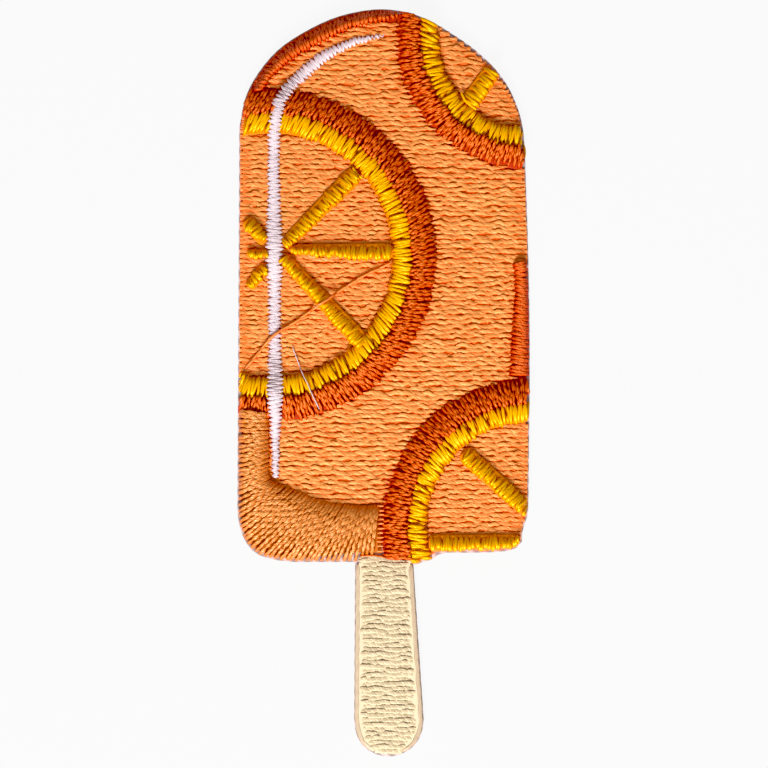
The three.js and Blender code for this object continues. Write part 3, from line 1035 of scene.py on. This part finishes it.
THREAD = {
    "crown": 0.0,
    "arch": 0.04,
    "step": 0.28,
    "wander": 0.08,
    "ripple": 0.8,
    "rock": 0.2,
    "tip": 0.7,
    "reach": 0.6,
    "lean": 1.0,
    "ridge": 2.0,
}
FILL = {
    "width": 0.57,
    "height": 0.16,
    "wander": 0.4,
    "ripple": 1.6,
    "rock": 0.26,
    "tip": 0.12,
    "reach": 1.6,
    "step": 0.2,
}
FLESH = dict(FILL, height=0.13, rock=0.2)
STICK = dict(FILL, width=0.56, height=0.08, wander=0.18, reach=0.7, rock=0.11, tip=0.4)
WALL = {"width": 0.36, "height": 0.14, "crown": 0.85, "ridge": 1.6, "tip": 0.15, "reach": 0.7, "lean": 0.5}
RIND = {"width": 0.34, "height": 0.17, "arch": 0.07, "crown": 0.95, "lean": 0.48, "tip": 0.4, "reach": 0.5}
PITH = {"width": 0.34, "height": 0.17, "arch": 0.05, "crown": 0.5, "lean": 0.63, "tip": 0.15, "reach": 0.8}
RIM = {"width": 0.34, "height": 0.2, "crown": 0.6}
CROWN = {"width": 0.36, "height": 0.2, "crown": 0.9, "lean": 2.1, "tip": 0.3}
CORNER = {"width": 0.37, "height": 0.16, "crown": 1.2, "lean": 0.8, "tip": 0.5, "reach": 0.4}
CORNER.update(ridge=3.0, arch=0.09)
COLUMN = {"width": 0.39, "height": 0.1, "crown": 0.18, "rock": 0.1, "tip": 0.3}


def sew_fills():
    for seed, node in enumerate(("ice_fill", "left_flesh", "top_flesh", "low_flesh"), 11):
        tip = OVER_TIP_HEIGHT if node == "ice_fill" else TIP_HEIGHT
        rows = fill_rows(node, FILL_PITCH, FILL_STITCH, seed, tip=tip)
        if node == "left_flesh":
            rows += ring_end_rows()
        size = FILL if node == "ice_fill" else FLESH
        finish_field(lay(node + "_stitches", rows, PEACH, seed, **size), node, "peach")


def sew_stick():
    rows = fill_rows("stick_fill", FILL_PITCH * 0.94, FILL_STITCH * 0.8, 21, border=0.26)
    threads = lay("stick_stitches", rows, CREAM, 21, **STICK)
    runs = [run for inset in (0.18, 0.02) for run in edge_runs(rows, inset)]
    sides = lay("stick_edge_runs", runs, TAN, 22, width=0.34, height=0.2, wander=0.05)
    top = lay("stick_foot_rows", foot_rows(), CREAM, 23, **STICK)
    line = lay("foot_run", foot_run(), RUST, 24, width=0.18, height=0.16, wander=0.1)
    finish_field(joined(threads, sides, top, line), "stick_fill", "cream", STICK_BED)


def sew_rings():
    parts = (
        ("rind", "rust", sewn_every(RIND_STITCH, 0.25), (-0.1, 0.06), RIND),
        ("pith", "yellow", sewn_once(0.25), (0, -0.46), PITH),
    )
    for seed, name in enumerate(SLICES, 31):
        for part, kind, sewn_down, drop, size in parts:
            node = f"{name}_{part}"
            stitches = ring_stitches(name, part, seed, sewn_down, drop)
            if node == "top_pith":
                stitches.append([(x, y, EDGE_HEIGHT + 0.1, 1, 0) for x, y in EDGE_THREAD])
            threads = lay(node + "_stitches", stitches, THREADS[kind], seed, **size)
            finish_field(threads, node, kind, RING_BED)


def sew_walls():
    for name, walls in WALLS.items():
        for i, (start, end, widths) in enumerate(walls, 1):
            node = f"{name}_wall_{i}"
            stitches = wall_stitches(start, end, widths, 50 + i)
            threads = lay(node + "_stitches", stitches, YELLOW, 50 + i, **WALL)
            if node in TIE_OFFS:
                over = plain_path([(x, y, WALL_HEIGHT + 0.42) for x, y in TIE_OFFS[node]])
                tie = lay(node + "_tie_off", [over], YELLOW, 60 + i, width=0.3, height=0.26)
                joined(threads, tie)
            finish_field(threads, node, "yellow", WALL_BED)


def sew_edges():
    corner = sewn_every(CORNER_STITCH, smooth=1.1)
    bands = (
        ("shade_corner", SHADE_PAIRS, "apricot", CORNER, corner, CORNER_PITCH, 0.3),
        ("crown_rind", CROWN_PAIRS, "rust", CROWN, sewn_once(0.4), SATIN_PITCH, 0),
        ("edge_rind", SLIVER_PAIRS, "rust", RIM, sewn_once(0), SATIN_PITCH, 0),
    )
    for seed, (node, pairs, kind, size, sewn_down, pitch, drop) in enumerate(bands, 71):
        stitches = pair_stitches(pairs, seed, BAND_HEIGHT, sewn_down, pitch, (0, drop))
        thread = DULL_RUST if kind == "rust" else THREADS[kind]
        threads = lay(node + "_stitches", stitches, thread, seed, **size)
        if node == "shade_corner":
            joined(threads, lay("ring_teeth", ring_teeth(75), PEACH, 75, width=0.26, height=0.2))
        finish_field(threads, node, kind, EDGE_BED)


def sew_highlight():
    threads = lay("highlight_stitches", highlight_stitches(81), WHITE, 81, **COLUMN)
    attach(threads, "root")
    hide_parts("highlight")
    SEWN.append(threads)


def lay_loose_threads():
    """Two ends that were never trimmed: one thread across a flesh, and one hair of white."""
    loose = (
        ("loose_orange_thread", LOOSE_ORANGE, "peach", 0.28, 0.14),
        ("loose_white_thread", LOOSE_WHITE, "white", 0.12, 0.14),
    )
    for seed, (node, points, kind, width, raise_by) in enumerate(loose, 91):
        path = loose_path(points, raise_by)
        thread = lay(node + "_end", [path], THREADS[kind], seed, width=width, height=width, tip=0.3)
        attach(thread, "root")
        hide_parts(node)


sew_fills()
sew_stick()
sew_rings()
sew_walls()
sew_edges()
sew_highlight()
lay_loose_threads()


# The cut cloth and its film


def cut_area(edges):
    """The area inside an outline, in square millimetres, from its level strips."""
    step, far = 0.05, 30
    low = min(y for edge in edges for _, y in edge)
    high = max(y for edge in edges for _, y in edge)
    total = 0.0
    for k in range(int((high - low) / step)):
        y = low + (k + 0.5) * step
        for t0, t1 in spans(edges, Vector((-far, y)), Vector((far, y))):
            total += (t1 - t0) * 2 * far * step
    return total


def lay_cloth():
    """The twill under the sewing, cut to the patch's outline. Only its edge shows."""
    cloth = made_of(welded("base_cloth"), "twill_cloth", TWILL)
    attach(cloth, "root")
    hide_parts("base_cloth")
    cut_area(OUTLINE) * MM * MM


def dress_film():
    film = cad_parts["backing_film"]
    film.data.materials.clear()
    film.data.materials.append(FILM)


lay_cloth()
dress_film()


# The stage: a pale floor, a soft key light from the foot of the patch and the camera above

FLOOR_GLOW = 0.95
KEY_WATTS = 3.7
KEY_SIZE = 0.2
KEY_DISTANCE = 0.52
KEY_AZIMUTH = -100
KEY_HEIGHT = 38
FILL_LIGHT = 0.37
SCAN_BLACK = 0.022
LENS = 135.0
SENSOR = 36.0
MIDDLE_HEIGHT = 1.2
FLOOR_DROP = 0.0001


def build_floor():
    floor = mesh_object("floor", [(-1, -1, 0), (1, -1, 0), (1, 1, 0), (-1, 1, 0)], [], [(0, 1, 2, 3)])
    material, tree, shader = surface("white_board", Roughness=1.0)
    shader.inputs["Base Color"].default_value = linear("#3c3c3c")
    shader.inputs["Emission Color"].default_value = linear("#fafafa")
    shader.inputs["Emission Strength"].default_value = FLOOR_GLOW
    shader.inputs["Specular IOR Level"].default_value = 0.0
    floor.data.materials.append(material)
    floor.location.z = -FLOOR_DROP


def build_light():
    lamp = bpy.data.lights.new("key", "AREA")
    lamp.size = KEY_SIZE
    lamp.energy = KEY_WATTS
    key = in_scene("key", lamp)
    toward = direction(KEY_AZIMUTH) * math.cos(math.radians(KEY_HEIGHT))
    key.location = Vector((toward.x, toward.y, math.sin(math.radians(KEY_HEIGHT)))) * KEY_DISTANCE
    key.rotation_euler = (-key.location).to_track_quat("-Z", "Y").to_euler()
    world = bpy.data.worlds.new("studio")
    world.use_nodes = True
    sky = world.node_tree.nodes["Background"].inputs
    sky["Color"].default_value = (1, 1, 1, 1)
    sky["Strength"].default_value = FILL_LIGHT
    bpy.context.scene.world = world
    view = bpy.context.scene.view_settings
    view.view_transform = "Standard"
    view.use_curve_mapping = True
    view.curve_mapping.black_level = (SCAN_BLACK,) * 3
    view.curve_mapping.update()


def build_camera():
    """Straight above, far away, framed so that the patch fills the same pixels as in the photograph."""
    width = PHOTO_PIXELS * PIXEL * MM
    distance = width * LENS / SENSOR
    x = (PHOTO_CENTRE[0] - PATCH_CENTRE[0]) * PIXEL * MM
    y = (PATCH_CENTRE[1] - PHOTO_CENTRE[1]) * PIXEL * MM
    data = bpy.data.cameras.new("camera")
    data.lens = LENS
    data.sensor_width = SENSOR
    data.clip_start = 0.01
    camera = in_scene("camera", data)
    camera.location = (x, y, distance + MIDDLE_HEIGHT * MM)
    bpy.context.scene.camera = camera


build_floor()
build_light()
build_camera()

bpy.context.view_layer.update()
